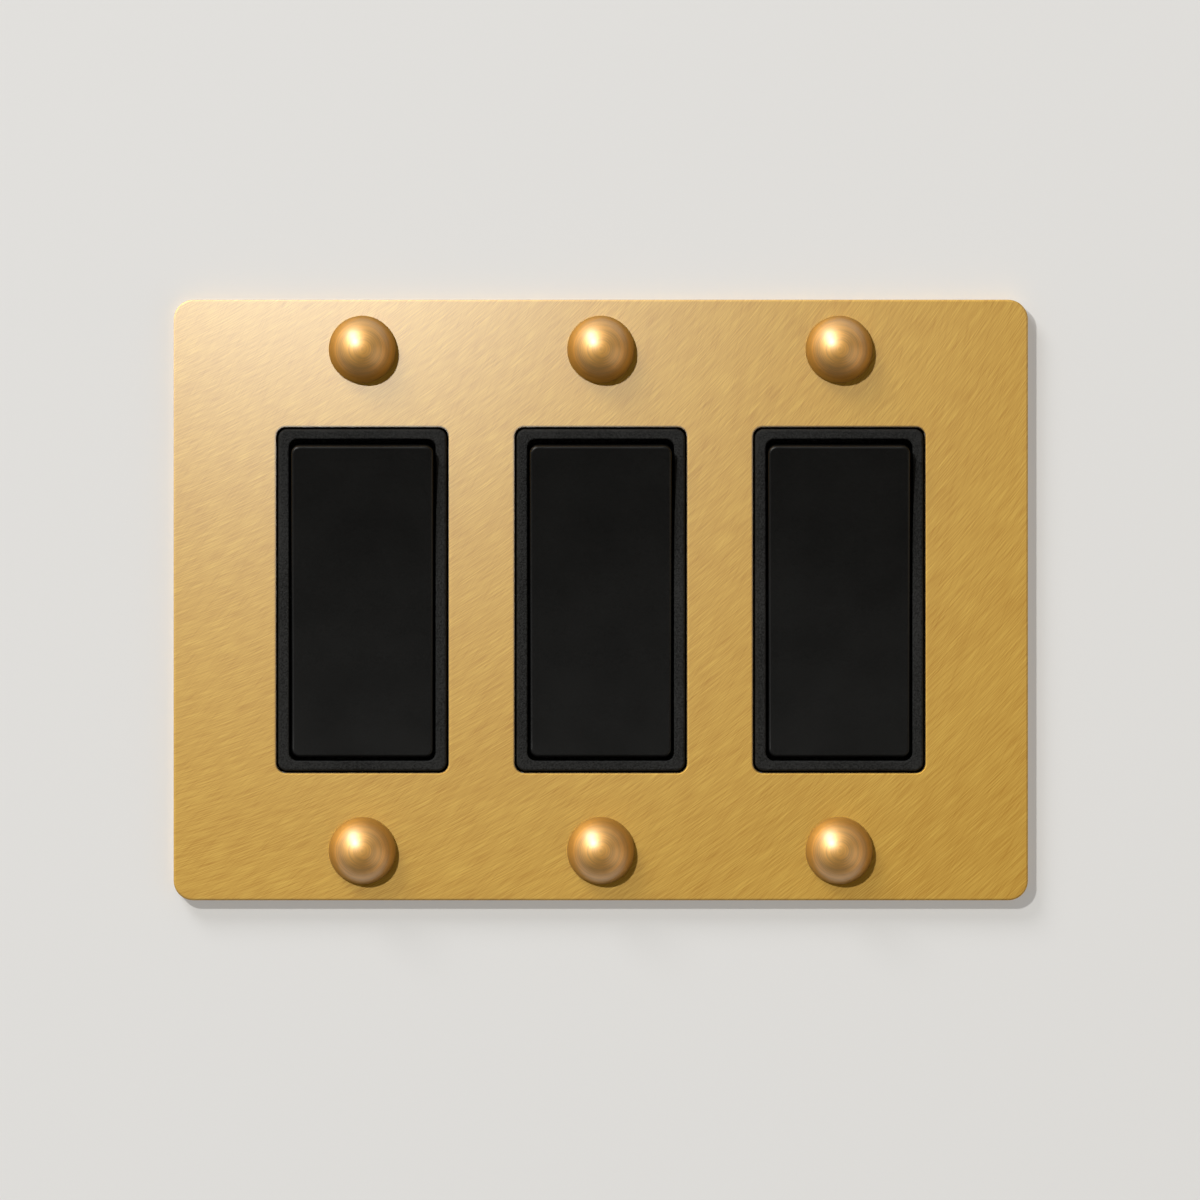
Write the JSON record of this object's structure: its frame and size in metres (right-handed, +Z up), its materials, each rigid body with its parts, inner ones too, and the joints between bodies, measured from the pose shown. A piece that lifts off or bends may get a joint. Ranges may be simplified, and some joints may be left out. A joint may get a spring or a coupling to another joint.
{
  "type": "rocker light switch",
  "caption": "Wall switch with a flat brushed brass cover plate, dome-head screws and a row of black rocker paddles in black bezels over see-saw switch mechanisms.",
  "frame": {"origin": "centre of the cover plate on the wall's surface", "axes": "+X to the right along the row of rockers, +Y into the wall, +Z up"},
  "size_m": [0.165, 0.0372, 0.116],
  "materials": {
    "brushed_brass": "solid brass, brushed on the diagonal, clear lacquer",
    "turned_brass": "solid brass, turned",
    "zinc_steel": "steel, bright zinc plate",
    "fibre": "red vulcanised fibre",
    "dark_screw": "steel, black oxide",
    "green_screw": "steel, green dyed zinc",
    "terminal_brass": "half-hard brass strip",
    "bezel_plastic": "black thermoplastic, fine spark-eroded texture",
    "rocker_plastic": "black thermoplastic, satin",
    "housing_plastic": "dark grey thermoset moulding",
    "silver": "silver alloy contact",
    "copper": "copper alloy strip",
    "nylon": "natural nylon",
    "spring_steel": "spring steel wire"
  },
  "bodies": {
    "wall_unit": {"cover_plate": "brushed_brass", "dome_screws": "turned_brass", "box_screws": "zinc_steel", "screw_retainers": "fibre", "strap_rivets": "zinc_steel", "common_screws": "dark_screw", "traveller_screws": "terminal_brass", "earth_screws": "green_screw", "bezel_left": "bezel_plastic", "strap_left": "zinc_steel", "housing_left": "housing_plastic", "common_terminal_left": "terminal_brass", "upper_traveller_left": "terminal_brass", "lower_traveller_left": "terminal_brass", "fixed_contacts_left": "silver", "bezel_middle": "bezel_plastic", "strap_middle": "zinc_steel", "housing_middle": "housing_plastic", "common_terminal_middle": "terminal_brass", "upper_traveller_middle": "terminal_brass", "lower_traveller_middle": "terminal_brass", "fixed_contacts_middle": "silver", "bezel_right": "bezel_plastic", "strap_right": "zinc_steel", "housing_right": "housing_plastic", "common_terminal_right": "terminal_brass", "upper_traveller_right": "terminal_brass", "lower_traveller_right": "terminal_brass", "fixed_contacts_right": "silver"},
    "rocker_left": {"rocker_left": "rocker_plastic", "plunger_spring_left": "spring_steel"},
    "plunger_left": {"plunger_left": "nylon"},
    "blade_left": {"contact_blade_left": "copper", "moving_contacts_left": "silver"},
    "rocker_middle": {"rocker_middle": "rocker_plastic", "plunger_spring_middle": "spring_steel"},
    "plunger_middle": {"plunger_middle": "nylon"},
    "blade_middle": {"contact_blade_middle": "copper", "moving_contacts_middle": "silver"},
    "rocker_right": {"rocker_right": "rocker_plastic", "plunger_spring_right": "spring_steel"},
    "plunger_right": {"plunger_right": "nylon"},
    "blade_right": {"contact_blade_right": "copper", "moving_contacts_right": "silver"}
  },
  "joints": [
    {"name": "rocker_left_tilt", "type": "hinge", "parent": "wall_unit", "child": "rocker_left", "pos_m": [-0.04604, 0.0006, 0], "axis": [-1, 0, 0], "range_deg": [0, 5.86]},
    {"name": "plunger_left_slide", "type": "slide", "parent": "rocker_left", "child": "plunger_left", "axis": [0, -0.9987, -0.0511], "range_m": [0, 0.001], "stiffness_N_per_m": 600, "springref_m": -0.002, "deforming": ["plunger_spring_left"]},
    {"name": "blade_left_tilt", "type": "hinge", "parent": "wall_unit", "child": "blade_left", "pos_m": [-0.04604, 0.0215, 0], "axis": [1, 0, 0], "range_deg": [0, 16]},
    {"name": "rocker_middle_tilt", "type": "hinge", "parent": "wall_unit", "child": "rocker_middle", "pos_m": [0, 0.0006, 0], "axis": [-1, 0, 0], "range_deg": [0, 5.86]},
    {"name": "plunger_middle_slide", "type": "slide", "parent": "rocker_middle", "child": "plunger_middle", "axis": [0, -0.9987, -0.0511], "range_m": [0, 0.001], "stiffness_N_per_m": 600, "springref_m": -0.002, "deforming": ["plunger_spring_middle"]},
    {"name": "blade_middle_tilt", "type": "hinge", "parent": "wall_unit", "child": "blade_middle", "pos_m": [0, 0.0215, 0], "axis": [1, 0, 0], "range_deg": [0, 16]},
    {"name": "rocker_right_tilt", "type": "hinge", "parent": "wall_unit", "child": "rocker_right", "pos_m": [0.04604, 0.0006, 0], "axis": [-1, 0, 0], "range_deg": [0, 5.86]},
    {"name": "plunger_right_slide", "type": "slide", "parent": "rocker_right", "child": "plunger_right", "axis": [0, -0.9987, -0.0511], "range_m": [0, 0.001], "stiffness_N_per_m": 600, "springref_m": -0.002, "deforming": ["plunger_spring_right"]},
    {"name": "blade_right_tilt", "type": "hinge", "parent": "wall_unit", "child": "blade_right", "pos_m": [0.04604, 0.0215, 0], "axis": [1, 0, 0], "range_deg": [0, 16]}
  ],
  "couplings": [
    {"joint": "blade_left_tilt", "follows": "rocker_left_tilt", "ratio": 2.73},
    {"joint": "blade_middle_tilt", "follows": "rocker_middle_tilt", "ratio": 2.73},
    {"joint": "blade_right_tilt", "follows": "rocker_right_tilt", "ratio": 2.73}
  ]
}
